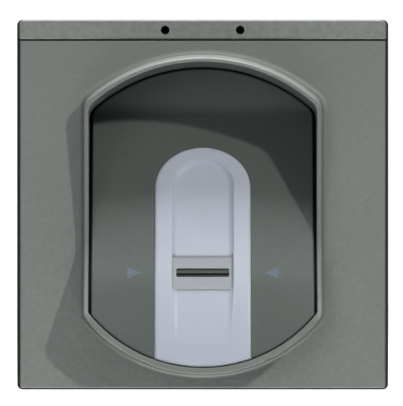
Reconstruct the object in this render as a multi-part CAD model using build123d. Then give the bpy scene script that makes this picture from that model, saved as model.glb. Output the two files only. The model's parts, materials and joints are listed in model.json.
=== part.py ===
from build123d import *

import os
from math import cos, radians, sqrt, tan

# Fingerprint scanner terminal: a square module that stands proud of a wall, over a box in the wall.
# Millimetres. The origin is the centre of the wall contact plane, +Z is up, and the face looks along -Y.
# "Height" is the distance in front of the face plate: y = -(FACE_Y + height).

# Face plate and top strip
FACE_Y = 13.0                 # the face plate stands this far off the wall
HALF = 49.2                   # half of the plate's width
PLATE_BOTTOM = -49.4
PLATE = 2.5
SKIRT = 2.0
SKIRT_END = -1.2              # the skirt stops here and presses on the wall seal
EDGE = 0.5                    # rounding of the plate's outer edges
STRIP_BOTTOM = 44.5
STRIP_PROUD = 0.2
GROOVE = 0.35
PLATE_TOP = STRIP_BOTTOM - GROOVE
STRIP_HALF = 49.4
STRIP_TOP = 49.7
STRIP_CORNER = 1.3
STRIP_LID = 0.7
LIP_END = -4.4                # the cover's top wall and the strip's bar end here, in front of the lock cams

# Hood ring round the finger bay, and the collar behind it
BAY_HALF = 30.6
BAY_TOP = 37.2                # crown of the bay's top arc, at the face plate
BAY_BOTTOM = -43.6
TOP_RADIUS = 44.4
BOTTOM_RADIUS = 39.2
RING = 1.5                    # wall of the ring at its sides
RING_BOTTOM = 1.9
RING_TOP = 3.4                # wall of the ring at its crown, where it meets the plate
TOP_DRAFT = 8.0               # the hood's top wall leans in by this many degrees on both faces
TOP_CORNER = 4.0
BOTTOM_CORNER = 1.2
COLLAR = 1.5
COLLAR_STEP = 0.12            # the bay is this much wider inside the collar than in the ring
CROWN_HEIGHT = 8.3
CROWN_Z = 38.4
HOOD_SLOPE = 0.1107
CHIN = 14.8                   # height of the ring round the bay's lower end
RIM_BELOW_FLOOR = 1.2         # on the slope the ring stands this far behind the bay floor
WAIST_BLEND = 10.0
CHIN_BLEND = 6.0
RIM_ROUND = 0.7
RIM_INNER = 0.3
HOOD_FOOT = 1.5               # concave rounding where the ring meets the plate

# Bay floor: a ramp that starts level with the chin and ends deep under the hood
TILT = radians(32.0)
SLOPE = tan(TILT)
FLOOR_CHIN = 14.2
FLOOR_CHIN_Z = -27.5
FLOOR_DEEP = -19.0
FLOOR_DEEP_Z = FLOOR_CHIN_Z + (FLOOR_CHIN - FLOOR_DEEP) / SLOPE
CHIN_ROLL = 38.0
DEEP_ROLL = 8.0
FLOOR_WALL = 3.0
INSERT_GAP = 0.75             # at the sides; the ends have END_GAP
END_GAP = 0.2
INSERT_EDGE = 0.5
SKIRT_HEIGHT = -6.6           # the insert's skirt reaches back to here
SKIRT_WALL = 1.6
INSERT_DROP = 6.0             # on the slope it reaches this far behind the floor
INSERT_DEEP = -22.5
COLLAR_HEIGHT = -4.6          # the collar's lower half reaches back to here
COLLAR_DROP = 5.0
COLLAR_DEEP = -22.0
COLLAR_BACK = 10.0            # past the collar's deepest edge
EAR_Z = (-24.0, -10.0)
EAR_X = 35.8
EAR_BOSS = 2.5
EAR_DEPTH = -11.6

# Finger guide, sensor and marker windows, on the ramp; "along" runs up the ramp from the sensor
SENSOR_Z = -17.85
GUIDE_HALF = 13.0
GUIDE_PROUD = 0.6
GUIDE_DOME_Z = 4.5            # centre of the domed upper end
GUIDE_ALONG = (GUIDE_DOME_Z - SENSOR_Z) / cos(TILT)
GUIDE_DEPTH = 3.6
GUIDE_LEDGE = 2.0             # the guide narrows by this on each side below the ledge
LEDGE_DEPTH = 1.6
GUIDE_EDGE = 1.0
TROUGH_HALF = 8.6
TROUGH_LEVEL = -0.5           # the trough's bottom on the ramp, measured from the floor
TROUGH_RISE = 0.75            # it rises to this level at the chin, and so runs out of the guide
TROUGH_ROUND = 2.0            # rounding between its bottom and its sides
TROUGH_END_Z = 12.4
BEZEL = (16.2, 10.9)
BEZEL_TOP = -0.65             # the bezel's face, measured from the floor
BEZEL_WALL = 1.6
RIDGE = 0.3
SLOT = (14.2, 2.75)
SLOT_CORNER = 0.5
SENSOR_BODY = (15.2, 6.0)
DIE_SHARE = (0.02, 0.49)      # of the slot's width, from its middle
DIE_TOP = -1.05
RESIN_SHARE = (-0.49, 0.02)
RESIN_TOP = -1.45
MARKER_X = 18.4
MARKER_ALONG = -0.4
MARKER = (3.6, 3.7)
SENSOR_BOARD = (46.0, 24.0, 1.0)
SENSOR_BOARD_TOP = -7.0
BOARD_POST = (20.0, 9.0)
BOARD_POST_RADIUS = 1.8
SEAT_PLAY = 0.05
LIGHT = (3.0, 2.4, 1.0)
GUIDE_LIGHT = (5.0, 9.0)
PLUG = (12.0, 4.0, 2.0)       # ribbon connectors
SENSOR_PLUG_ALONG = -6.0
RIBBON = (10.0, 0.2)

# Locks behind the strip
LOCK_X = 10.1
LOCK_Z = 47.0
ACCESS_RADIUS = 1.18
CHAMBER_RADIUS = 1.6
RUNNING = 0.05
BARREL_FRONT = -9.0
AXIAL_PLAY = 0.1
HEX_KEY = 1.5
HEX_DEPTH = 1.6
CAM = (-4.25, -2.7)           # the cam fills these depths
CAM_HUB = 1.45
CAM_REACH = 5.4
CAM_WIDTH = 2.4
NECK = 0.8

# Mounting frame on the wall
FRAME_T = 2.4
FRAME_HALF = 47.0
FRAME_TOP = 48.4
FRAME_OPENING = (74.8, 87.2)
FRAME_RIB = 1.6
FRAME_RIB_FRONT = -5.0
WALL_HOLE = (42.2, 32.0)
WALL_HOLE_RADIUS = 2.1
HOOK_X = 24.0
HOOK_WIDTH = 8.0
HOOK_TALL = 1.7
HOOK_FRONT = -2.3
FOOT_X = 36.0
FOOT_WIDTH = 8.0
FOOT_TOP = 48.2
FOOT_SCREW_Z = 46.4
FOOT_DEPTH = -9.0
SEAL_HALF = 50.2              # the seal shows as a thin dark rim round the face
SEAL_BOTTOM = -50.05
SEAL_TOP = 50.05
SEAL_CORNER = 1.5
SEAL_BACK = -0.2

# Rear housing in the wall box
HOUSING = (72.0, 86.0)
HOUSING_WALL = 2.0
HOUSING_FRONT = -2.0
HOUSING_BACK = 28.7
FLOOR_Y = HOUSING_BACK - HOUSING_WALL
POST = (30.6, 37.6)
POST_RADIUS = 4.0
POST_SEAT = 3.0
POST_BORE = 2.8
BOSS_RADIUS = 3.0
BOSS_DEPTH = -9.5
HOUSING_SCREW_HEAD = 2.6
HOUSING_SCREW_HEAD_T = 2.0
SHANK = 1.45
SMALL_SHANK = 0.9
SMALL_HEAD = 1.2
ENTRY = (44.0, 15.0)          # opening over the terminals and the wires
ENTRY_Z = -29.0

# Main board
BOARD = (54.0, 68.0)
BOARD_T = 1.6
BOARD_Y = 15.0
BOARD_HOLE = (24.5, 31.5)
WIDE_POST_RADIUS = 2.5
BOARD_SCREW_TIP = FLOOR_Y - 1.5
PROCESSOR = (8.0, 10.0)
CHIP = 12.0
CHIP_T = 1.2
CHIP_STAND = 0.2
CHIP_LEGS = 12
LEG = 1.2
LEG_WIDTH = 0.4
LEG_PITCH = 0.8
CHIP_EDGE = 0.2
MEMORY = (-8.0, 20.0)
MEMORY_CHIP = (5.2, 4.0, 1.5)
CRYSTAL = (10.0, -4.0)
CRYSTAL_CAN = (10.5, 4.2, 3.5)
CAN_EDGE = 0.5
INDUCTOR = (-19.0, -8.0)
COIL_BASE = (8.0, 1.0)        # side, thickness
COIL_CORE = (3.6, 4.2)        # radius, height above the board
CAPACITORS = ((-19.0, -18.0), (19.0, -10.0), (19.0, -18.0))
CAN_BASE = (6.6, 0.8)
CAN = (3.1, 7.5)
CHIP_ROWS = ((-6.0, -4.0), (-6.0, -10.0), (2.0, -12.0), (-4.0, 28.0), (4.0, 22.0))
CHIP_ROW = 4
CHIP_PITCH = 2.0
CHIP_PART = (1.25, 2.0, 0.6)
BUZZER = (-10.0, 7.0)
BUZZER_CAN = (6.0, 5.5)
BUZZER_HOLE = (1.0, 1.5)      # radius, depth
MAIN_PLUG_Z = -24.0
RIBBON_RUN = 3.0
RIBBON_BEND = 1.6
RIBBON_BEND_Y = 2.0
TERMINAL = (40.0, 7.6)
TERMINAL_T = 10.8
TERMINAL_SCREW = 1.6
SCREW_SINK = 1.0              # depth of a terminal screw's head in its well
SCREW_WELL = 3.0
WIRE_HOLE = (3.0, 5.0)
WIRE_HOLE_Y = 4.0             # from the block's back
WIRE_HOLE_WALL = 2.0          # between the wire hole and the board
TERMINAL_Z = -26.0
POLES = 8
POLE_PITCH = 5.0

# Tamper switch and reset button
TAMPER = (-41.5, 8.0)
TAMPER_BODY = (6.0, 7.0)
TAMPER_FRONT = -4.8
PLUNGER_RADIUS = 1.2
PLUNGER = (-7.0, -2.5)
TIP_EDGE = 0.4
TAMPER_DEPTH = -10.1
SPRING_RADIUS = 0.9
SPRING_WIRE = 0.15
SPRING_PITCH = 0.62
TAMPER_PLUG_X = -22.0
TAMPER_PLUG = (5.0, 6.0, 2.8)
TAMPER_RIBBON_Y = -6.5
TAMPER_RIBBON_GAP = 0.8       # between the ribbon and the housing's wall
TAMPER_RIBBON_HALF = 2.0
RESET = (22.0, 20.0)
RESET_RADIUS = 2.2
RESET_CAP = (20.6, 28.2)
RESET_FLANGE = (25.6, 26.6)
RESET_FLANGE_RADIUS = 3.2
RESET_SWITCH = (6.0, 3.0)

SEAL_BAND = (-3.2, -5.0)      # the bay seal lies between these distances behind the floor

CORNER = 1.0
WIDE_CORNER = 3.0
DRIVE = 0.5                   # width of the screwdriver slots
SINK = 0.1                    # a countersunk head lies this far below the surface
FAR = 60.0
FROM_BASE = (Align.CENTER, Align.CENTER, Align.MIN)


def view(x, z):
    """A place in the front view."""
    return Pos(x, z)


def prism(sketch, back, front):
    """Extrude a front-view sketch (x, z) between two depths y."""
    return extrude(Plane.XZ.offset(-back) * sketch, amount=back - front)


def rod(x, z, radius, back, front):
    return prism(view(x, z) * Circle(radius), back, front)


def block(x, z, width, tall, back, front):
    return prism(view(x, z) * Rectangle(width, tall), back, front)


def behind(profile, radii=()):
    """Everything behind a side-view line of (z, height) points, with its inner corners rounded."""
    points = [(-(FACE_Y + height), z) for z, height in profile]
    face = make_face(Polyline(*points, (FAR, points[-1][1]), (FAR, points[0][1]), close=True))
    for point, radius in zip(points[1:-1], radii):
        face = fillet(face.vertices().sort_by_distance((*point, 0))[0], radius)
    return extrude(Plane.YZ * face, amount=FAR, both=True)


def behind_floor(offset=0.0, chin=None):
    """Everything behind the bay floor, or behind the surface that lies offset in front of it.

    chin is another offset for the level lower end.
    """
    chin = offset if chin is None else chin
    deep_z = FLOOR_DEEP_Z + (offset / cos(TILT) - offset) / SLOPE
    chin_z = FLOOR_CHIN_Z + (offset / cos(TILT) - chin) / SLOPE
    profile = [
        (FAR, FLOOR_DEEP + offset),
        (deep_z, FLOOR_DEEP + offset),
        (chin_z, FLOOR_CHIN + chin),
        (-FAR, FLOOR_CHIN + chin),
    ]
    return behind(profile, (DEEP_ROLL - offset, CHIN_ROLL + chin))


def floor_height(z):
    return FLOOR_CHIN - SLOPE * (z - FLOOR_CHIN_Z)


def behind_step(drop, shallow, deep):
    """Everything behind a line that keeps drop below the ramp, between two fixed heights."""
    turn_low = FLOOR_CHIN_Z + (FLOOR_CHIN - drop - shallow) / SLOPE
    turn_deep = FLOOR_CHIN_Z + (FLOOR_CHIN - drop - deep) / SLOPE
    return behind([(FAR, deep), (turn_deep, deep), (turn_low, shallow), (-FAR, shallow)])


def bay_block(grow, top, back, front, draft=0.0, corners=(TOP_CORNER, BOTTOM_CORNER), end=None):
    """The bay's barrel outline as a solid: grown at the sides, its crown at top where it meets the plate.

    draft is in degrees: positive opens the top wall towards the front and negative closes it.
    """
    half = BAY_HALF + grow
    end = grow if end is None else end
    radius = BOTTOM_RADIUS + end
    centre = BAY_BOTTOM + BOTTOM_RADIUS
    low = centre - sqrt(radius ** 2 - half ** 2)
    outline = Polyline((-half, low), (-half, FAR), (half, FAR), (half, low))
    bottom = ThreePointArc((half, low), (0, BAY_BOTTOM - end), (-half, low))
    solid = prism(make_face([*outline.edges(), bottom]), back, front)
    top_radius = TOP_RADIUS + top - BAY_TOP
    lean = tan(radians(draft))
    reach_back = top_radius - lean * (back + FACE_Y)
    reach_front = top_radius - lean * (front + FACE_Y)
    place = Plane.XZ.offset(-back) * view(0, BAY_TOP - TOP_RADIUS)
    if draft:
        crown = Cone(reach_back, reach_front, back - front, align=FROM_BASE)
    else:
        crown = Cylinder(reach_back, back - front, align=FROM_BASE)
    solid = solid & (place * crown)
    long_edges = [e for e in solid.edges() if abs((e @ 0 - e @ 1).Y) > 0.5 * (back - front)]
    solid = fillet([e for e in long_edges if (e @ 0.5).Z > 0], corners[0])
    long_edges = [e for e in solid.edges() if abs((e @ 0 - e @ 1).Y) > 0.5 * (back - front)]
    sharp = [e for e in long_edges if (e @ 0.5).Z < 0]
    return fillet(sharp, corners[1])


def ramp(x=0.0, along=0.0, above=0.0):
    """A place on the ramp: x across, along up the slope from the sensor, above square to the floor."""
    origin = (0, -(FACE_Y + floor_height(SENSOR_Z)), SENSOR_Z)
    plane = Plane(origin=origin, x_dir=(1, 0, 0), z_dir=(0, -1, SLOPE))
    return plane * Pos(x, along, above)


def ramp_prism(sketch, low, high, x=0.0, along=0.0):
    """Extrude a sketch that lies on the ramp, square to it, between two distances from the floor."""
    return extrude(ramp(x, along, low) * sketch, amount=high - low)


def front_edges(solid):
    """The outline of a solid's front surface, without the seams that run straight across it."""
    faces = [f for f in solid.faces() if f.normal_at().Y < -0.5 and f.center().Y < -FACE_Y]
    edges = [e for f in faces for e in f.edges()]
    return [e for e in edges if not (e.geom_type == GeomType.LINE and abs((e % 0.5).X) > 0.99)]


def ring_block():
    """The hood ring as a solid block, cut to the rim line and rounded over its outer rim."""
    corners = (TOP_CORNER + RING, BOTTOM_CORNER + RING)
    crown = BAY_TOP + RING_TOP
    ring = bay_block(RING, crown, PLATE - FACE_Y, -FAR, -TOP_DRAFT, corners, end=RING_BOTTOM)
    chin_z = FLOOR_CHIN_Z + (FLOOR_CHIN - RIM_BELOW_FLOOR - CHIN) / SLOPE
    waist_z = floor_height(0) - RIM_BELOW_FLOOR - CROWN_HEIGHT + HOOD_SLOPE * CROWN_Z
    waist_z = waist_z / (SLOPE + HOOD_SLOPE)
    waist = CROWN_HEIGHT + HOOD_SLOPE * (waist_z - CROWN_Z)
    top = CROWN_HEIGHT + HOOD_SLOPE * (FAR - CROWN_Z)
    line = [(FAR, top), (waist_z, waist), (chin_z, CHIN), (-FAR, CHIN)]
    ring = ring & behind(line, (WAIST_BLEND, CHIN_BLEND))
    return fillet(front_edges(ring), RIM_ROUND)


def inner_rim(shell):
    """The edges between the ring's rim and the bay."""
    rim = [f for f in shell.faces() if f.normal_at().Y < -0.8 and f.center().Y < -FACE_Y - 1]
    bay = bay_block(RIM_INNER / 5, BAY_TOP + RIM_INNER / 5, -FACE_Y, -FAR, TOP_DRAFT)
    return [e for f in rim for e in f.edges() if bay.is_inside(e @ 0.5)]


def mirrored(*places):
    """Each (x, z) place and its mirror image across the middle."""
    return [(side * x, z) for x, z in places for side in (-1, 1)]


def corners_of(x, z):
    return mirrored((x, z), (x, -z))


def ear_places():
    return mirrored(*((EAR_X, z) for z in EAR_Z))


def screw(x, z, seat, tip, head_radius, shank_radius, head):
    """A cross-head screw driven towards the front: its head sits behind the depth seat."""
    body = rod(x, z, head_radius, seat + head, seat) + rod(x, z, shank_radius, seat, tip)
    body = fillet(body.edges().sort_by(Axis.Y)[-1], head / 3)
    cross = Rectangle(head_radius * 1.1, head_radius / 4) + Rectangle(head_radius / 4, head_radius * 1.1)
    return body - prism(view(x, z) * cross, seat + head, seat + head / 2)


# Front cover and strip


def front_cover():
    """Face plate, hood ring and collar in one moulding, with skirt walls, bosses and two hooks."""
    middle = (PLATE_TOP + PLATE_BOTTOM) / 2
    tall = PLATE_TOP - PLATE_BOTTOM
    shell = block(0, middle, 2 * HALF, tall, SKIRT_END, -FACE_Y)
    shell = fillet(shell.edges().filter_by(Axis.Y).group_by(Axis.Z)[0], EDGE)
    shell = fillet(shell.faces().sort_by(Axis.Y)[0].edges(), EDGE)
    inside = block(0, middle, 2 * (HALF - SKIRT), tall - 2 * SKIRT, SKIRT_END, PLATE - FACE_Y)
    relief = block(0, PLATE_TOP, 2 * (HALF - SKIRT), 4 * SKIRT, SKIRT_END, LIP_END)
    shell = shell - inside - relief + ring_block()
    low, high = BAY_BOTTOM - RING_BOTTOM, BAY_TOP + RING_TOP
    at_plate = shell.edges().filter_by_position(Axis.Y, -FACE_Y - 0.01, -FACE_Y + 0.01)
    foot = at_plate.filter_by_position(Axis.Z, low - 1, high + 1)
    foot = foot.filter_by_position(Axis.X, -BAY_HALF - RING - 1, BAY_HALF + RING + 1)
    shell = fillet(foot, HOOD_FOOT)
    collar = bay_block(COLLAR, BAY_TOP + COLLAR, COLLAR_BACK, PLATE - FACE_Y, end=COLLAR)
    collar -= behind_step(COLLAR_DROP, COLLAR_HEIGHT, COLLAR_DEEP)
    shell = shell + collar
    shell -= bay_block(COLLAR_STEP, BAY_TOP + COLLAR_STEP, COLLAR_BACK, -FACE_Y)
    shell -= bay_block(0, BAY_TOP, -FACE_Y, -FAR, TOP_DRAFT)
    shell = fillet(inner_rim(shell), RIM_INNER)
    for x, z in corners_of(*POST):
        shell += rod(x, z, BOSS_RADIUS, HOUSING_FRONT, PLATE - FACE_Y)
        shell -= rod(x, z, SHANK, HOUSING_FRONT, BOSS_DEPTH)
    for x, z in ear_places():
        shell += rod(x, z, EAR_BOSS, -(FACE_Y + COLLAR_HEIGHT), PLATE - FACE_Y)
        shell -= rod(x, z, SMALL_SHANK, -(FACE_Y + COLLAR_HEIGHT), EAR_DEPTH)
    wall_top = PLATE_BOTTOM + SKIRT
    for x in (-HOOK_X, HOOK_X):
        shell += block(x, wall_top, HOOK_WIDTH, 2 * HOOK_TALL, SKIRT_END, HOOK_FRONT)
    return shell


def lock_chambers():
    """The two stepped bores through the strip: a small access hole, then the lock screw's chamber."""
    bores = []
    for x in (-LOCK_X, LOCK_X):
        bores.append(rod(x, LOCK_Z, ACCESS_RADIUS, BARREL_FRONT, -FAR))
        bores.append(rod(x, LOCK_Z, CHAMBER_RADIUS, LIP_END, BARREL_FRONT - AXIAL_PLAY))
    return bores


def top_strip():
    """Slim bar above the face, with walls that carry on the skirt and two feet on the mounting frame."""
    middle = (STRIP_BOTTOM + STRIP_TOP) / 2
    tall = STRIP_TOP - STRIP_BOTTOM
    strip = block(0, middle, 2 * STRIP_HALF, tall, SKIRT_END, -FACE_Y - STRIP_PROUD)
    strip = fillet(strip.edges().filter_by(Axis.Y).group_by(Axis.Z)[-1], STRIP_CORNER)
    strip = fillet(strip.edges().filter_by(Axis.Y).group_by(Axis.Z)[0], EDGE)
    strip = fillet(strip.faces().sort_by(Axis.Y)[0].edges(), EDGE)
    hollow_top = STRIP_TOP - STRIP_LID
    strip -= block(0, hollow_top / 2, 2 * (STRIP_HALF - SKIRT), hollow_top, SKIRT_END, LIP_END)
    foot_tall = FOOT_TOP - STRIP_BOTTOM
    for x in (-FOOT_X, FOOT_X):
        strip += block(x, STRIP_BOTTOM + foot_tall / 2, FOOT_WIDTH, foot_tall, -FRAME_T, LIP_END)
        strip -= rod(x, FOOT_SCREW_Z, SMALL_SHANK, -FRAME_T, FOOT_DEPTH)
    for bore in lock_chambers():
        strip -= bore
    return strip


# Finger bay


def insert_block(wall=0.0, floor=0.0):
    """The bay insert as a solid plug, or the hollow inside it at a given wall and floor thickness."""
    end = -END_GAP - wall
    corners = (TOP_CORNER - wall, (BOTTOM_CORNER - wall / 2) / 2)
    plug = bay_block(-INSERT_GAP - wall, BAY_TOP + end, COLLAR_BACK, -FAR, corners=corners, end=end)
    return plug & behind_floor(-floor)


def tongue(half, end_wall):
    """The finger guide's outline as a tall prism square to the ramp, cut off at the bay's lower end."""
    outline = Pos(0, GUIDE_ALONG - FAR) * Rectangle(2 * half, 2 * FAR) + Pos(0, GUIDE_ALONG) * Circle(half)
    radius = BOTTOM_RADIUS - end_wall
    lower_end = rod(0, BAY_BOTTOM + BOTTOM_RADIUS, radius, FAR, -FAR) + block(0, FAR, FAR, 2 * FAR, FAR, -FAR)
    return ramp_prism(outline, -FAR, FAR) & lower_end


def guide_wide(play=0.0):
    """The guide above its ledge, or with play the seat that it lies in."""
    end_wall = 0 if play else END_GAP
    return (tongue(GUIDE_HALF + play, end_wall) & behind_floor(GUIDE_PROUD)) - behind_floor(-LEDGE_DEPTH)


def guide_narrow(play=0.0):
    """The guide below its ledge, or with play the opening in the bay floor that it fills."""
    end_wall = END_GAP + SKIRT_WALL + GUIDE_LEDGE - play
    narrow = tongue(GUIDE_HALF - GUIDE_LEDGE + play, end_wall) & behind_floor(-LEDGE_DEPTH)
    return narrow - behind_floor(-GUIDE_DEPTH)


def marker(side):
    """A triangle on the ramp that points at the sensor from one side."""
    width, tall = MARKER
    points = [(-width / 2 * side, tall / 2), (-width / 2 * side, -tall / 2), (width / 2 * side, 0)]
    return Pos(-side * MARKER_X, MARKER_ALONG) * make_face(Polyline(*points, close=True))


def marker_window(side):
    return ramp_prism(marker(side), -GUIDE_DEPTH, 0)


def board_posts():
    x, along = BOARD_POST
    return mirrored((x, along), (x, -along))


def bay_insert():
    """Sloping floor of the finger bay, with a skirt, four ears, and seats for the guide and the board."""
    insert = fillet(front_edges(insert_block()), INSERT_EDGE) - insert_block(SKIRT_WALL, FLOOR_WALL)
    insert -= behind_step(INSERT_DROP, SKIRT_HEIGHT, INSERT_DEEP)
    front, back = -(FACE_Y + COLLAR_HEIGHT), -(FACE_Y + SKIRT_HEIGHT)
    inner, outer = BAY_HALF - INSERT_GAP - SKIRT_WALL, EAR_X + EAR_BOSS
    for x, z in ear_places():
        side = x / EAR_X
        insert += block(side * (inner + outer) / 2, z, outer - inner, 2 * EAR_BOSS, back, front)
        insert -= rod(x, z, SMALL_SHANK, back, front)
    insert -= guide_wide(SEAT_PLAY)
    insert -= guide_narrow(SEAT_PLAY)
    for x, along in board_posts():
        insert += ramp_prism(Circle(BOARD_POST_RADIUS), SENSOR_BOARD_TOP, -FLOOR_WALL, x, along)
        insert -= ramp_prism(Circle(SMALL_SHANK), SENSOR_BOARD_TOP, -FLOOR_WALL, x, along)
    for side in (-1, 1):
        insert -= ramp_prism(marker(side), -GUIDE_DEPTH, FLOOR_WALL)
    return insert


def trough():
    """The finger's path as a solid, with rounded sides, a round upper end and a floor that runs out."""
    end = (TROUGH_END_Z - SENSOR_Z) / cos(TILT) - TROUGH_HALF
    outline = Pos(0, end - FAR / 2) * Rectangle(2 * TROUGH_HALF, FAR) + Pos(0, end) * Circle(TROUGH_HALF)
    path = ramp_prism(outline, -FAR, FAR) - behind_floor(TROUGH_LEVEL, TROUGH_RISE)
    bottom = [f for f in path.faces() if f.normal_at().Y > 0.8]
    edges = [e for f in bottom for e in f.edges()]
    sides = [e for e in edges if e.geom_type == GeomType.CIRCLE or abs((e % 0.5).X) < 0.99]
    return fillet(sides, TROUGH_ROUND)


def finger_guide():
    """Translucent tongue with a finger trough, a pocket for the bezel and a hole for the sensor."""
    guide = fillet(front_edges(guide_wide()), GUIDE_EDGE) + guide_narrow()
    guide -= trough()
    guide -= ramp_prism(Rectangle(*BEZEL), BEZEL_TOP - BEZEL_WALL, FLOOR_WALL)
    return guide - ramp_prism(Rectangle(*SENSOR_BODY), -FAR / 2, 0)


def sensor_bezel():
    """Plate in the guide's pocket with the sensor slot and a fine ridge along its upper and lower edge."""
    width, tall = BEZEL
    bezel = ramp_prism(Rectangle(width, tall), BEZEL_TOP - BEZEL_WALL, BEZEL_TOP)
    for along in (-tall / 2 + RIDGE, tall / 2 - RIDGE):
        bezel += ramp(0, along, BEZEL_TOP) * Rot(0, 90, 0) * Cylinder(RIDGE, width)
    return bezel - ramp_prism(RectangleRounded(*SLOT, SLOT_CORNER), -FAR / 2, FAR / 2)


def slot_strip(share, top):
    """A strip that fills part of the slot's width, between two shares of it."""
    width, tall = SLOT
    low, high = share
    part = Pos(0, tall * (low + high) / 2) * Rectangle(width, tall * (high - low))
    part &= RectangleRounded(*SLOT, SLOT_CORNER)
    return ramp_prism(part, BEZEL_TOP - BEZEL_WALL, top)


def sensor_die():
    return slot_strip(DIE_SHARE, DIE_TOP)


def sensor_resin():
    return slot_strip(RESIN_SHARE, RESIN_TOP)


def sensor_module():
    """Body under the slot that carries the die on the sensor board."""
    return ramp_prism(Rectangle(*SENSOR_BODY), SENSOR_BOARD_TOP, BEZEL_TOP - BEZEL_WALL)


def sensor_board():
    width, tall, thick = SENSOR_BOARD
    board = ramp_prism(RectangleRounded(width, tall, CORNER), SENSOR_BOARD_TOP - thick, SENSOR_BOARD_TOP)
    for x, along in board_posts():
        board -= ramp_prism(Circle(SMALL_SHANK), -FAR / 2, 0, x, along)
    return board


def sensor_board_screws():
    """Four small screws, driven from behind up into the insert's posts."""
    under = SENSOR_BOARD_TOP - SENSOR_BOARD[2]
    screws = []
    for x, along in board_posts():
        head = ramp_prism(Circle(2 * SMALL_SHANK), under - SMALL_HEAD, under, x, along)
        shank = ramp_prism(Circle(SMALL_SHANK), under, -FLOOR_WALL - 0.5, x, along)
        slot = Rectangle(3 * SMALL_SHANK, DRIVE)
        slot = ramp_prism(slot, under - SMALL_HEAD, under - SMALL_HEAD / 2, x, along)
        screws.append(head + shank - slot)
    return Compound(screws)


def light(x, along):
    """A small surface-mounted lamp: a square body with a domed lens."""
    width, tall, thick = LIGHT
    body = ramp_prism(Rectangle(width, tall), SENSOR_BOARD_TOP, SENSOR_BOARD_TOP + thick, x, along)
    lens = ramp(x, along, SENSOR_BOARD_TOP + thick) * Sphere(thick, arc_size1=0)
    return body + lens


def marker_lights():
    return Compound([light(x, MARKER_ALONG) for x in (-MARKER_X, MARKER_X)])


def guide_lights():
    x, along = GUIDE_LIGHT
    return Compound([light(*place) for place in mirrored((x, along), (x, -along))])


def sensor_plug():
    """Ribbon connector on the sensor board's underside."""
    width, tall, thick = PLUG
    under = SENSOR_BOARD_TOP - SENSOR_BOARD[2]
    plug = ramp_prism(Rectangle(width, tall), under - thick, under, 0, SENSOR_PLUG_ALONG)
    return plug - ramp_prism(Rectangle(*RIBBON), under - thick, under - thick / 2, 0, SENSOR_PLUG_ALONG)


def bay_seal():
    """Rubber band between the insert and the collar, just behind the bay floor."""
    band = behind_floor(SEAL_BAND[0]) - behind_floor(SEAL_BAND[1])
    return (bay_block(0, BAY_TOP, COLLAR_BACK, -FAR) & band) - insert_block()


def insert_screws():
    """Four screws through the insert's ears into the cover."""
    seat = -(FACE_Y + SKIRT_HEIGHT)
    sizes = (2 * SMALL_SHANK, SMALL_SHANK, SMALL_HEAD)
    return Compound([screw(*place, seat, EAR_DEPTH, *sizes) for place in ear_places()])


# Locks


def lock_screw(side):
    """Barrel with a hexagon socket that turns in the strip, with a thin neck for the cam."""
    x = side * LOCK_X
    barrel = rod(x, LOCK_Z, CHAMBER_RADIUS - RUNNING, CAM[0], BARREL_FRONT)
    barrel += rod(x, LOCK_Z, NECK, CAM[1], CAM[0])
    socket = view(x, LOCK_Z) * RegularPolygon(HEX_KEY / 2, 6, major_radius=False)
    return barrel - prism(socket, BARREL_FRONT + HEX_DEPTH, BARREL_FRONT)


def lock_cam(side):
    """Cam on the lock screw's neck: at rest its arm hangs down behind the cover's top wall."""
    x = side * LOCK_X
    front, back = CAM
    cam = rod(x, LOCK_Z, CAM_HUB, back, front)
    cam += block(x, LOCK_Z - CAM_REACH / 2, CAM_WIDTH, CAM_REACH, back, front)
    return cam - rod(x, LOCK_Z, NECK, back, front)


# Mounting frame and its seal


def mounting_frame():
    """Flat frame on the wall, with a rib round three sides, two notches for the hooks and its holes."""
    middle = (FRAME_TOP - FRAME_HALF) / 2
    tall = FRAME_TOP + FRAME_HALF
    plate = view(0, middle) * RectangleRounded(2 * FRAME_HALF, tall, CORNER)
    plate -= RectangleRounded(*FRAME_OPENING, WIDE_CORNER)
    frame = prism(plate, 0, -FRAME_T)
    rib_top = PLATE_TOP - 2 * SKIRT
    rib = view(0, (rib_top - FRAME_HALF) / 2) * Rectangle(2 * FRAME_HALF, rib_top + FRAME_HALF)
    inner = FRAME_HALF - FRAME_RIB
    rib -= view(0, rib_top / 2) * Rectangle(2 * inner, rib_top + 2 * inner)
    frame += prism(rib, -FRAME_T, FRAME_RIB_FRONT)
    for x in (-HOOK_X, HOOK_X):
        frame -= block(x, -FRAME_HALF, HOOK_WIDTH + 1, 2 * HOOK_TALL + 1, 0, -FRAME_T)
    for x, z in corners_of(*WALL_HOLE):
        frame -= rod(x, z, WALL_HOLE_RADIUS, 0, -FRAME_T)
    for x in (-FOOT_X, FOOT_X):
        frame -= foot_screw(x)
    return frame


def foot_screw(x):
    """Countersunk screw from the wall side into a foot of the strip."""
    place = Plane.XZ.offset(SINK) * view(x, FOOT_SCREW_Z)
    head = place * Cone(2 * SMALL_SHANK, SMALL_SHANK, SMALL_SHANK, align=FROM_BASE)
    return head + rod(x, FOOT_SCREW_Z, SMALL_SHANK, -SMALL_SHANK, FOOT_DEPTH)


def strip_screws():
    screws = []
    for x in (-FOOT_X, FOOT_X):
        screws.append(foot_screw(x) - block(x, FOOT_SCREW_Z, 3 * SMALL_SHANK, DRIVE, 0, -DRIVE))
    return Compound(screws)


def wall_seal():
    """Soft square ring round the mounting frame, between the skirt and the wall."""
    middle = (SEAL_TOP + SEAL_BOTTOM) / 2
    outline = view(0, middle) * RectangleRounded(2 * SEAL_HALF, SEAL_TOP - SEAL_BOTTOM, SEAL_CORNER)
    opening = view(0, (FRAME_TOP - FRAME_HALF) / 2) * Rectangle(2 * FRAME_HALF, FRAME_TOP + FRAME_HALF)
    return prism(outline - opening, SEAL_BACK, SKIRT_END)


# Rear housing


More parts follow.
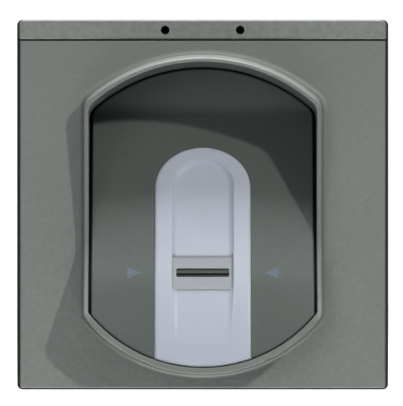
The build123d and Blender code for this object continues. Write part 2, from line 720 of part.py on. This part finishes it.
def rear_housing():
    """Back shell in the wall box, with screw posts in its corners and board posts on its floor."""
    width, tall = HOUSING
    outer = prism(RectangleRounded(width, tall, WIDE_CORNER), HOUSING_BACK, HOUSING_FRONT)
    outer = fillet(outer.faces().sort_by(Axis.Y)[-1].edges(), CORNER)
    inner = RectangleRounded(width - 2 * HOUSING_WALL, tall - 2 * HOUSING_WALL, CORNER)
    housing = outer - prism(inner, FLOOR_Y, HOUSING_FRONT)
    for x, z in corners_of(*POST):
        post = rod(x, z, POST_RADIUS, FLOOR_Y, HOUSING_FRONT) & outer
        housing = housing + post - rod(x, z, SHANK, POST_SEAT, HOUSING_FRONT)
        housing -= rod(x, z, POST_BORE, HOUSING_BACK, POST_SEAT)
    for x, z in corners_of(*BOARD_HOLE):
        housing += rod(x, z, WIDE_POST_RADIUS, FLOOR_Y, BOARD_Y + BOARD_T)
        housing -= rod(x, z, SMALL_SHANK, BOARD_SCREW_TIP, BOARD_Y + BOARD_T)
    housing -= block(0, ENTRY_Z, *ENTRY, HOUSING_BACK, FLOOR_Y)
    housing -= rod(*RESET, RESET_RADIUS + RUNNING, HOUSING_BACK, FLOOR_Y)
    return housing


def housing_screws():
    """Four long screws through the housing's corner posts into the cover's bosses."""
    sizes = (HOUSING_SCREW_HEAD, SHANK, HOUSING_SCREW_HEAD_T)
    return Compound([screw(*place, POST_SEAT, BOSS_DEPTH, *sizes) for place in corners_of(*POST)])


# Main board


def main_board():
    board = prism(RectangleRounded(*BOARD, CORNER), BOARD_Y + BOARD_T, BOARD_Y)
    for x, z in corners_of(*BOARD_HOLE):
        board -= rod(x, z, SMALL_SHANK, BOARD_Y + BOARD_T, BOARD_Y)
    return board


def board_screws():
    """Four screws that hold the main board, driven from its front into the housing's posts."""
    screws = []
    for x, z in corners_of(*BOARD_HOLE):
        body = rod(x, z, 2 * SMALL_SHANK, BOARD_Y, BOARD_Y - SMALL_HEAD)
        body += rod(x, z, SMALL_SHANK, BOARD_SCREW_TIP, BOARD_Y)
        body -= block(x, z, 3 * SMALL_SHANK, DRIVE, BOARD_Y - SMALL_HEAD / 2, BOARD_Y - SMALL_HEAD)
        screws.append(body)
    return Compound(screws)


def on_board(x, z, width, tall, thick):
    """A block on the main board's front side."""
    return block(x, z, width, tall, BOARD_Y, BOARD_Y - thick)


def front_rounded(part, radius):
    """Round the outline of a component's front."""
    return fillet(part.faces().sort_by(Axis.Y)[0].edges(), radius)


def processor():
    """Square chip with a row of legs along each side."""
    x, z = PROCESSOR
    chip = block(x, z, CHIP, CHIP, BOARD_Y - CHIP_STAND, BOARD_Y - CHIP_STAND - CHIP_T)
    chip = front_rounded(chip, CHIP_EDGE)
    first = -(CHIP_LEGS - 1) / 2 * LEG_PITCH
    reach = (CHIP + LEG) / 2
    for i in range(CHIP_LEGS):
        offset = first + i * LEG_PITCH
        for end in (-reach, reach):
            chip += on_board(x + offset, z + end, LEG_WIDTH, LEG, CHIP_STAND + CHIP_T / 2)
            chip += on_board(x + end, z + offset, LEG, LEG_WIDTH, CHIP_STAND + CHIP_T / 2)
    return chip


def memory():
    return front_rounded(on_board(*MEMORY, *MEMORY_CHIP), CHIP_EDGE)


def crystal():
    """Tall oval can."""
    width, tall, thick = CRYSTAL_CAN
    can = prism(view(*CRYSTAL) * SlotOverall(width, tall), BOARD_Y, BOARD_Y - thick)
    return front_rounded(can, CAN_EDGE)


def inductor():
    """Square power coil with a round core."""
    side, thick = COIL_BASE
    radius, height = COIL_CORE
    return on_board(*INDUCTOR, side, side, thick) + rod(*INDUCTOR, radius, BOARD_Y - thick, BOARD_Y - height)


def capacitors():
    """Three round electrolytic cans on square bases."""
    side, thick = CAN_BASE
    radius, height = CAN
    cans = []
    for x, z in CAPACITORS:
        can = on_board(x, z, side, side, thick) + rod(x, z, radius, BOARD_Y - thick, BOARD_Y - height)
        cans.append(front_rounded(can, CAN_EDGE))
    return Compound(cans)


def chip_parts():
    """Small resistors and capacitors in short rows."""
    places = [(x + CHIP_PITCH * i, z) for x, z in CHIP_ROWS for i in range(CHIP_ROW)]
    return Compound([on_board(x, z, *CHIP_PART) for x, z in places])


def buzzer():
    """Round sounder with a hole in its front."""
    radius, height = BUZZER_CAN
    hole_radius, hole_depth = BUZZER_HOLE
    can = front_rounded(rod(*BUZZER, radius, BOARD_Y, BOARD_Y - height), CAN_EDGE)
    return can - rod(*BUZZER, hole_radius, BOARD_Y - height + hole_depth, BOARD_Y - height)


def main_plug():
    """Connector on the main board for the sensor ribbon."""
    width, tall, thick = PLUG
    plug = on_board(0, MAIN_PLUG_Z, width, tall, thick)
    return plug - block(0, MAIN_PLUG_Z, *RIBBON, BOARD_Y - thick / 2, BOARD_Y - thick)


def sensor_ribbon():
    """Flat ribbon from the sensor board back to the main board."""
    depth = SENSOR_BOARD_TOP - SENSOR_BOARD[2] - PLUG[2] / 2
    start = ramp(0, SENSOR_PLUG_ALONG, depth).position
    turn = ramp(0, SENSOR_PLUG_ALONG, depth - RIBBON_RUN).position
    points = [
        (start.Y, start.Z),
        (turn.Y, turn.Z),
        (RIBBON_BEND_Y - RIBBON_RUN, turn.Z),
        (RIBBON_BEND_Y + RIBBON_RUN, MAIN_PLUG_Z),
        (BOARD_Y - PLUG[2] / 2, MAIN_PLUG_Z),
    ]
    width, thick = RIBBON
    side_view = trace(FilletPolyline(*points, radius=RIBBON_BEND), thick)
    return extrude(Plane.YZ * side_view, amount=width / 2, both=True)


def terminal_block():
    """Row of screw terminals behind the board, with wire entries below and screws facing back."""
    width, tall = TERMINAL
    front = BOARD_Y + BOARD_T
    back = front + TERMINAL_T
    body = block(0, TERMINAL_Z, width, tall, back, front)
    for x in poles():
        body -= block(x, TERMINAL_Z - tall / 2, *WIRE_HOLE, back - WIRE_HOLE_Y, front + WIRE_HOLE_WALL)
        body -= rod(x, TERMINAL_Z, TERMINAL_SCREW, back, back - SCREW_WELL)
    return body


def poles():
    return [(i - (POLES - 1) / 2) * POLE_PITCH for i in range(POLES)]


def terminal_screws():
    back = BOARD_Y + BOARD_T + TERMINAL_T
    screws = []
    for x in poles():
        body = rod(x, TERMINAL_Z, TERMINAL_SCREW, back - SCREW_SINK, back - SCREW_WELL)
        body -= block(x, TERMINAL_Z, 3 * TERMINAL_SCREW, DRIVE, back - SCREW_SINK, back - SCREW_SINK - DRIVE)
        screws.append(body)
    return Compound(screws)


# Tamper switch and reset button


def tamper_switch():
    """Switch body on the back of the face plate, with a bore for the plunger."""
    body = block(*TAMPER, *TAMPER_BODY, TAMPER_FRONT, PLATE - FACE_Y)
    return body - rod(*TAMPER, PLUNGER_RADIUS + RUNNING, TAMPER_FRONT, TAMPER_DEPTH)


def tamper_plunger():
    """Plunger that the mounting frame holds in."""
    inner, tip = PLUNGER
    plunger = rod(*TAMPER, PLUNGER_RADIUS, tip, inner)
    return fillet(plunger.edges().sort_by(Axis.Y)[-1], TIP_EDGE)


def tamper_spring():
    """Coil spring between the plunger and the bottom of its bore."""
    length = PLUNGER[0] - TAMPER_DEPTH - 2 * SPRING_WIRE
    path = Helix(SPRING_PITCH, length, SPRING_RADIUS)
    coil = sweep(Plane(origin=path @ 0, z_dir=path % 0) * Circle(SPRING_WIRE), path=path, is_frenet=True)
    return Plane.XZ.offset(-PLUNGER[0] + SPRING_WIRE) * view(*TAMPER) * coil


def tamper_plug():
    return on_board(TAMPER_PLUG_X, TAMPER[1], *TAMPER_PLUG)


def tamper_ribbon():
    """Narrow ribbon from the tamper switch round the housing's rim to the main board."""
    width, _, thick = TAMPER_PLUG
    x_switch = TAMPER[0] + TAMPER_BODY[0] / 2
    x_wall = -(HOUSING[0] / 2 - HOUSING_WALL) + TAMPER_RIBBON_GAP
    y_board = BOARD_Y - thick / 2
    points = [
        (x_switch, TAMPER_RIBBON_Y),
        (x_wall, TAMPER_RIBBON_Y),
        (x_wall, y_board),
        (TAMPER_PLUG_X - width / 2, y_board),
    ]
    strip = trace(FilletPolyline(*points, radius=RIBBON_BEND), RIBBON[1])
    return Pos(0, 0, TAMPER[1]) * extrude(strip, amount=TAMPER_RIBBON_HALF, both=True)


def reset_button():
    """Round button pressed from behind, kept in by a flange inside the housing."""
    button = rod(*RESET, RESET_RADIUS, RESET_CAP[1], RESET_CAP[0])
    button = fillet(button.edges().sort_by(Axis.Y)[-1], TIP_EDGE)
    return button + rod(*RESET, RESET_FLANGE_RADIUS, RESET_FLANGE[1], RESET_FLANGE[0])


def reset_switch():
    width, thick = RESET_SWITCH
    return block(*RESET, width, width, BOARD_Y + BOARD_T + thick, BOARD_Y + BOARD_T)


NODES = {
    "front_cover": front_cover,
    "top_strip": top_strip,
    "bay_insert": bay_insert,
    "bay_seal": bay_seal,
    "insert_screws": insert_screws,
    "finger_guide": finger_guide,
    "left_marker_window": lambda: marker_window(1),
    "right_marker_window": lambda: marker_window(-1),
    "sensor_bezel": sensor_bezel,
    "sensor_die": sensor_die,
    "sensor_resin": sensor_resin,
    "sensor_module": sensor_module,
    "sensor_board": sensor_board,
    "sensor_board_screws": sensor_board_screws,
    "marker_lights": marker_lights,
    "guide_lights": guide_lights,
    "sensor_plug": sensor_plug,
    "sensor_ribbon": sensor_ribbon,
    "left_lock_screw": lambda: lock_screw(-1),
    "left_lock_cam": lambda: lock_cam(-1),
    "right_lock_screw": lambda: lock_screw(1),
    "right_lock_cam": lambda: lock_cam(1),
    "mounting_frame": mounting_frame,
    "strip_screws": strip_screws,
    "wall_seal": wall_seal,
    "rear_housing": rear_housing,
    "housing_screws": housing_screws,
    "main_board": main_board,
    "board_screws": board_screws,
    "processor": processor,
    "memory": memory,
    "crystal": crystal,
    "inductor": inductor,
    "capacitors": capacitors,
    "chip_parts": chip_parts,
    "buzzer": buzzer,
    "main_plug": main_plug,
    "terminal_block": terminal_block,
    "terminal_screws": terminal_screws,
    "tamper_switch": tamper_switch,
    "tamper_plunger": tamper_plunger,
    "tamper_spring": tamper_spring,
    "tamper_plug": tamper_plug,
    "tamper_ribbon": tamper_ribbon,
    "reset_button": reset_button,
    "reset_switch": reset_switch,
}

os.makedirs("parts", exist_ok=True)
for name, make in NODES.items():
    export_step(make(), f"parts/{name}.step")
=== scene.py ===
import json
from math import radians

import bpy
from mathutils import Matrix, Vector


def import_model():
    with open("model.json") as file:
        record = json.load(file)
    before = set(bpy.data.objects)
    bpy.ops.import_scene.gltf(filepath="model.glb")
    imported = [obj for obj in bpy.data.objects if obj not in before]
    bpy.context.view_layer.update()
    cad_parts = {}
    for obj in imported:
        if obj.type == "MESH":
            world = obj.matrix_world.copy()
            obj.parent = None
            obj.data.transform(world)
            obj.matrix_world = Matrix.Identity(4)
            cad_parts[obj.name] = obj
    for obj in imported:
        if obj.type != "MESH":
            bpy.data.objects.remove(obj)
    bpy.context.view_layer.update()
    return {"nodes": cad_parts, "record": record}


# Looks of the fingerprint scanner terminal. Metres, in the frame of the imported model:
# +Z up, the face looks along -Y, and the origin is the centre of the wall contact plane.

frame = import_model()
nodes = frame["nodes"]
slot_of = {part["node"]: part["material_slot"] for part in frame["record"]["subparts"]}

MM = 0.001
EVEN = (1.0, 1.0, 1.0)                 # texture stretch, the same along every axis
SCREW_MARKS = (1.0, 0.05, 1.0)         # marks drawn out along a screw's axis
CAN_MARKS = (1.0, 1.0, 0.1)            # marks drawn out upwards
WHITE = (1.0, 1.0, 1.0)
COPPER = (0.55, 0.42, 0.2)


# Node helpers


def new_material(name):
    """A node material, its node tree and its shader."""
    material = bpy.data.materials.new(name)
    material.use_nodes = True
    tree = material.node_tree
    return material, tree, tree.nodes["Principled BSDF"]


def join(tree, value, socket):
    """Give a socket a value, or the output of another node."""
    if isinstance(value, bpy.types.NodeSocket):
        tree.links.new(value, socket)
    else:
        socket.default_value = value


def put(tree, kind, settings=None, **inputs):
    """Add a node. Inputs are numbers, colours or sockets, by name with _ for a space."""
    node = tree.nodes.new(kind)
    for key, value in (settings or {}).items():
        setattr(node, key, value)
    for key, value in inputs.items():
        join(tree, value, node.inputs[key.replace("_", " ")])
    return node


def place(tree, stretch=EVEN):
    """Coordinates in metres that stay with the object, stretched along its axes."""
    coordinates = put(tree, "ShaderNodeTexCoord").outputs["Object"]
    return put(tree, "ShaderNodeMapping", Vector=coordinates, Scale=stretch).outputs["Vector"]


def noise(tree, size, detail=2.0, stretch=EVEN):
    """Noise from 0 to 1 with features of a given size in millimetres."""
    texture = put(tree, "ShaderNodeTexNoise", Vector=place(tree, stretch),
                  Scale=1 / (size * MM), Detail=detail, Roughness=0.5)
    return texture.outputs["Fac"]


def cells(tree, size, output="Distance"):
    """Cells of a given size in millimetres: the distance to their middles, or their colours."""
    texture = put(tree, "ShaderNodeTexVoronoi", Vector=place(tree), Scale=1 / (size * MM))
    return texture.outputs[output]


def spread(tree, value, low, high, start=0.0, end=1.0):
    """Map a value from start..end to low..high, and hold it there."""
    node = put(tree, "ShaderNodeMapRange", {"clamp": True}, Value=value,
               From_Min=start, From_Max=end, To_Min=low, To_Max=high)
    return node.outputs["Result"]


def maths(tree, operation, *values):
    """One step of arithmetic on numbers or sockets."""
    node = put(tree, "ShaderNodeMath", {"operation": operation})
    for socket, value in zip(node.inputs, values):
        join(tree, value, socket)
    return node.outputs[0]


def blend_colours(tree, share, first, second, mode="MIX"):
    """Blend the second colour into the first. The sockets are those of a colour mix."""
    node = put(tree, "ShaderNodeMix", {"data_type": "RGBA", "blend_type": mode})
    for index, value in ((0, share), (6, first), (7, second)):
        join(tree, value, node.inputs[index])
    return node.outputs[2]


def bump(tree, shader, height, depth):
    """Relief of a given depth in millimetres. A second call adds to the first."""
    node = put(tree, "ShaderNodeBump", Height=height, Strength=1.0, Distance=depth * MM)
    before = shader.inputs["Normal"]
    if before.is_linked:
        join(tree, before.links[0].from_socket, node.inputs["Normal"])
    join(tree, node.outputs["Normal"], before)


def rgba(colour, factor=1.0):
    """A colour as a node wants it, made lighter or darker by a factor."""
    return tuple(min(1.0, channel * factor) for channel in colour) + (1.0,)


def mottled(tree, colour, size, detail, dark, light):
    """A colour that drifts between a darker and a lighter shade of itself."""
    return blend_colours(tree, noise(tree, size, detail), rgba(colour, dark), rgba(colour, light))


def uneven_gloss(tree, shader, size, detail, low, high):
    """Roughness that drifts between two values."""
    join(tree, spread(tree, noise(tree, size, detail), low, high), shader.inputs["Roughness"])


def edge_highlight(tree, colour, highlight_colour, amount):
    """Mix a lighter colour in along convex edges, broken up by noise: a painted edge highlight."""
    convex = put(tree, "ShaderNodeNewGeometry").outputs["Pointiness"]
    edge = spread(tree, convex, 0.0, amount, start=0.51, end=0.62)
    patches = spread(tree, noise(tree, 1.6, 3.0), 0.2, 1.0, start=0.35, end=0.65)
    return blend_colours(tree, maths(tree, "MULTIPLY", edge, patches), colour, highlight_colour)


# Materials


def painted(name, colour, metallic, roughness, grain):
    """Silver-grey paint: fine flakes, soft blotches and a faint orange peel."""
    material, tree, shader = new_material(name)
    blotch = mottled(tree, colour, 30.0, 2.0, 0.94, 1.06)
    flakes = spread(tree, cells(tree, 0.34, "Color"), 1.0 - grain, 1.0 + grain)
    grey = put(tree, "ShaderNodeCombineColor", Red=flakes, Green=flakes, Blue=flakes).outputs["Color"]
    speckled = blend_colours(tree, 1.0, blotch, grey, "MULTIPLY")
    # Convex edges are lightened here: a painted edge highlight.
    join(tree, edge_highlight(tree, speckled, rgba(colour, 1.7), 0.35), shader.inputs["Base Color"])
    shader.inputs["Metallic"].default_value = metallic
    uneven_gloss(tree, shader, 6.0, 3.0, roughness - 0.04, roughness + 0.05)
    bump(tree, shader, noise(tree, 0.5, 2.0), depth=0.012)
    bump(tree, shader, noise(tree, 3.0, 1.0), depth=0.02)
    return material


def moulded(name, colour, roughness, texture=0.25, relief=0.012):
    """Moulded plastic with an eroded surface texture."""
    material, tree, shader = new_material(name)
    base = mottled(tree, colour, 14.0, 3.0, 0.94, 1.06)
    # Convex edges are lightened here: a painted edge highlight.
    join(tree, edge_highlight(tree, base, rgba(colour, 1.8), 0.25), shader.inputs["Base Color"])
    uneven_gloss(tree, shader, 5.0, 4.0, roughness - 0.06, roughness + 0.06)
    bump(tree, shader, noise(tree, texture, 3.0), relief)
    return material


def milky(name, colour, roughness, depth):
    """Translucent plastic that spreads light, milky inside and smooth outside."""
    material, tree, shader = new_material(name)
    join(tree, mottled(tree, colour, 9.0, 2.0, 0.97, 1.03), shader.inputs["Base Color"])
    shader.inputs["Subsurface Weight"].default_value = 0.6
    shader.inputs["Subsurface Scale"].default_value = depth * MM
    shader.inputs["Subsurface Radius"].default_value = (0.8, 0.9, 1.0)
    uneven_gloss(tree, shader, 4.0, 3.0, roughness - 0.05, roughness + 0.05)
    bump(tree, shader, noise(tree, 0.6, 2.0), depth=0.006)
    return material


def rubber(name, colour):
    """Soft rubber with fine grain and dusty patches."""
    material, tree, shader = new_material(name)
    join(tree, mottled(tree, colour, 2.5, 4.0, 0.7, 1.5), shader.inputs["Base Color"])
    uneven_gloss(tree, shader, 1.2, 3.0, 0.6, 0.8)
    bump(tree, shader, noise(tree, 0.3, 3.0), depth=0.03)
    return material


def metal(name, colour, roughness, stretch):
    """Plated or drawn metal with fine marks along one direction and dull spots."""
    material, tree, shader = new_material(name)
    marks = noise(tree, 0.25, 4.0, stretch)
    join(tree, mottled(tree, colour, 1.5, 4.0, 0.75, 1.1), shader.inputs["Base Color"])
    shader.inputs["Metallic"].default_value = 1.0
    gloss = spread(tree, marks, roughness - 0.08, roughness + 0.12, start=0.3, end=0.7)
    join(tree, gloss, shader.inputs["Roughness"])
    bump(tree, shader, marks, depth=0.01)
    return material


def board(name, colour):
    """Solder mask over copper tracks: tracks are a little raised and lighter."""
    material, tree, shader = new_material(name)
    tracks = put(tree, "ShaderNodeTexBrick", {"offset": 0.37, "squash": 0.6}, Vector=place(tree),
                 Scale=180.0, Mortar_Size=0.09, Mortar_Smooth=0.1).outputs["Fac"]
    vias = spread(tree, cells(tree, 2.6), 1.0, 0.0, start=0.10, end=0.14)
    base = blend_colours(tree, tracks, rgba(colour, 0.8), rgba(colour, 2.0))
    join(tree, blend_colours(tree, vias, base, rgba(COPPER)), shader.inputs["Base Color"])
    uneven_gloss(tree, shader, 1.0, 3.0, 0.28, 0.4)
    bump(tree, shader, maths(tree, "ADD", tracks, vias), depth=0.03)
    return material


def film(name, colour):
    """Ribbon film with copper tracks along it."""
    material, tree, shader = new_material(name)
    wave = put(tree, "ShaderNodeTexWave", {"bands_direction": "X"}, Vector=place(tree), Scale=320.0)
    tracks = spread(tree, wave.outputs["Fac"], 0.0, 1.0, start=0.35, end=0.5)
    base = blend_colours(tree, tracks, rgba(colour, 0.55), rgba(colour, 1.5))
    join(tree, base, shader.inputs["Base Color"])
    uneven_gloss(tree, shader, 2.0, 2.0, 0.25, 0.35)
    bump(tree, shader, tracks, depth=0.02)
    return material


def silicon(name, colour):
    """Coated silicon: a fine pixel grid under a thin clear coat."""
    material, tree, shader = new_material(name)
    grid = put(tree, "ShaderNodeTexChecker", Vector=place(tree), Scale=20000.0).outputs["Fac"]
    base = blend_colours(tree, grid, rgba(colour, 0.85), rgba(colour, 1.15))
    join(tree, base, shader.inputs["Base Color"])
    shader.inputs["Coat Weight"].default_value = 0.6
    shader.inputs["Coat Roughness"].default_value = 0.2
    uneven_gloss(tree, shader, 2.0, 2.0, 0.25, 0.4)
    bump(tree, shader, noise(tree, 0.8, 2.0), depth=0.004)
    return material


# Each slot's kind of material, its colour and the rest of what that kind asks for.
LOOKS = {
    "cover_paint": (painted, (0.215, 0.228, 0.212), dict(metallic=0.15, roughness=0.5, grain=0.08)),
    "insert_grey": (moulded, (0.107, 0.122, 0.112), dict(roughness=0.45, texture=0.35, relief=0.010)),
    "guide_milky": (milky, (0.60, 0.635, 0.735), dict(roughness=0.38, depth=3.0)),
    "bezel_milky": (milky, (0.43, 0.445, 0.485), dict(roughness=0.42, depth=1.5)),
    "marker_blue": (milky, (0.15, 0.19, 0.24), dict(roughness=0.35, depth=1.0)),
    "silicon": (silicon, (0.03, 0.033, 0.033), {}),
    "resin": (moulded, (0.008, 0.009, 0.010), dict(roughness=0.3, texture=0.6, relief=0.01)),
    "rubber_black": (rubber, (0.018, 0.018, 0.018), {}),
    "board_green": (board, (0.012, 0.09, 0.035), {}),
    "part_black": (moulded, (0.02, 0.02, 0.022), dict(roughness=0.5)),
    "plug_cream": (moulded, (0.62, 0.58, 0.47), dict(roughness=0.45)),
    "ribbon_film": (film, (0.42, 0.22, 0.06), {}),
    "terminal_green": (moulded, (0.03, 0.22, 0.08), dict(roughness=0.38)),
    "screw_steel": (metal, (0.55, 0.55, 0.54), dict(roughness=0.32, stretch=SCREW_MARKS)),
    "lock_black": (metal, (0.006, 0.006, 0.006), dict(roughness=0.5, stretch=SCREW_MARKS)),
    "can_aluminium": (metal, (0.6, 0.6, 0.6), dict(roughness=0.35, stretch=CAN_MARKS)),
    "frame_grey": (moulded, (0.24, 0.25, 0.25), dict(roughness=0.5, texture=0.3, relief=0.02)),
    "housing_dark": (moulded, (0.035, 0.037, 0.04), dict(roughness=0.52, texture=0.35, relief=0.03)),
    "light_clear": (milky, (0.75, 0.75, 0.7), dict(roughness=0.2, depth=0.5)),
    "button_white": (moulded, (0.7, 0.7, 0.68), dict(roughness=0.35)),
}
MATERIALS = {slot: kind(slot, colour, **rest) for slot, (kind, colour, rest) in LOOKS.items()}

for name, node in nodes.items():
    node.data.materials.clear()
    node.data.materials.append(MATERIALS[slot_of[name]])


# Stage, light and camera

FACE_Y = -0.013                        # front of the face plate
TARGET = Vector((0.0, FACE_Y, 0.0))
FLOOR_Z = -0.062
FLOOR_HALF = 2.5

# Each light's place, width and height in metres, its power in watts and its colour.
KEY_DIRECTION = Vector((0.523, -0.718, 0.459))
KEY_DISTANCE = 1.8
LIGHTS = {
    "key": (TARGET + KEY_DIRECTION * KEY_DISTANCE, (0.08, 0.08), 12.3, (1.0, 0.985, 0.95)),
    "overhead": (Vector((0.0, -0.12, 0.9)), (0.7, 0.5), 5.5, (0.97, 0.99, 1.0)),
    "top": (Vector((0.0, 0.12, 0.8)), (0.6, 0.12), 7.0, (0.99, 0.99, 1.0)),
    "front": (Vector((-0.9, -2.2, 0.5)), (1.2, 1.2), 9.5, (0.96, 1.0, 1.0)),
    "bounce": (Vector((0.0, -0.3, -0.6)), (0.7, 0.4), 4.4, WHITE),
    "under": (Vector((0.0, -0.02, -0.8)), (0.6, 0.12), 5.0, WHITE),
    "back": (Vector((-0.2, 0.9, 1.0)), (0.8, 0.8), 4.0, (0.97, 0.99, 1.0)),
}

CAMERA_DISTANCE = 2.0                  # in front of the face plate
VIEW_WIDTH = 0.1084                    # what the picture spans at the face plate
VIEW_CENTRE = (-0.00032, 0.00047)      # x and z of the middle of the picture


def add_object(name, data):
    """Put a new object with the given data into the scene."""
    obj = bpy.data.objects.new(name, data)
    bpy.context.scene.collection.objects.link(obj)
    return obj


def floor():
    """Plain pale floor, a little below the terminal. It lights and mirrors in nothing."""
    corners = [(x, y, FLOOR_Z) for x, y in ((-FLOOR_HALF, -FLOOR_HALF), (FLOOR_HALF, -FLOOR_HALF),
                                            (FLOOR_HALF, FLOOR_HALF), (-FLOOR_HALF, FLOOR_HALF))]
    mesh = bpy.data.meshes.new("floor")
    mesh.from_pydata(corners, [], [(0, 1, 2, 3)])
    obj = add_object("floor", mesh)
    material, tree, shader = new_material("floor_white")
    pale = blend_colours(tree, noise(tree, 400.0), rgba(WHITE, 0.86), rgba(WHITE, 0.9))
    join(tree, pale, shader.inputs["Base Color"])
    shader.inputs["Roughness"].default_value = 0.9
    shader.inputs["Emission Color"].default_value = rgba(WHITE)
    shader.inputs["Emission Strength"].default_value = 0.85
    mesh.materials.append(material)
    obj.visible_diffuse = False
    obj.visible_glossy = False


def area_light(name, position, size, power, colour):
    """A rectangular light that points at the middle of the face plate."""
    light = bpy.data.lights.new(name, "AREA")
    light.shape = "RECTANGLE"
    light.size, light.size_y = size
    light.energy = power
    light.color = colour
    obj = add_object(name, light)
    obj.location = position
    obj.rotation_euler = (TARGET - position).to_track_quat("-Z", "Y").to_euler()


def world():
    """White to the camera. To the object it is a dim light with darker sides."""
    environment = bpy.data.worlds.new("studio")
    bpy.context.scene.world = environment
    environment.use_nodes = True
    tree = environment.node_tree
    direction = put(tree, "ShaderNodeTexCoord").outputs["Generated"]
    across = maths(tree, "ABSOLUTE", put(tree, "ShaderNodeSeparateXYZ", Vector=direction).outputs["X"])
    seen = put(tree, "ShaderNodeBackground", Color=rgba(WHITE), Strength=1.05)
    fill = put(tree, "ShaderNodeBackground", Color=rgba((0.93, 0.97, 1.0)),
               Strength=spread(tree, across, 0.22, 0.03, start=0.3, end=0.8))
    to_camera = put(tree, "ShaderNodeLightPath").outputs["Is Camera Ray"]
    mix = put(tree, "ShaderNodeMixShader")
    for socket, source in zip(mix.inputs, (to_camera, fill.outputs[0], seen.outputs[0])):
        join(tree, source, socket)
    join(tree, mix.outputs[0], tree.nodes["World Output"].inputs["Surface"])


def camera():
    """Straight in front of the face plate, with a long lens."""
    lens = bpy.data.cameras.new("camera")
    lens.sensor_fit = "HORIZONTAL"
    lens.sensor_width = 36.0
    lens.lens = lens.sensor_width * CAMERA_DISTANCE / VIEW_WIDTH
    obj = add_object("camera", lens)
    obj.location = (VIEW_CENTRE[0], FACE_Y - CAMERA_DISTANCE, VIEW_CENTRE[1])
    obj.rotation_euler = (radians(90), 0, 0)
    bpy.context.scene.camera = obj


floor()
for name, (position, size, power, colour) in LIGHTS.items():
    area_light(name, position, size, power, colour)
world()
camera()
bpy.context.scene.view_settings.view_transform = "Standard"
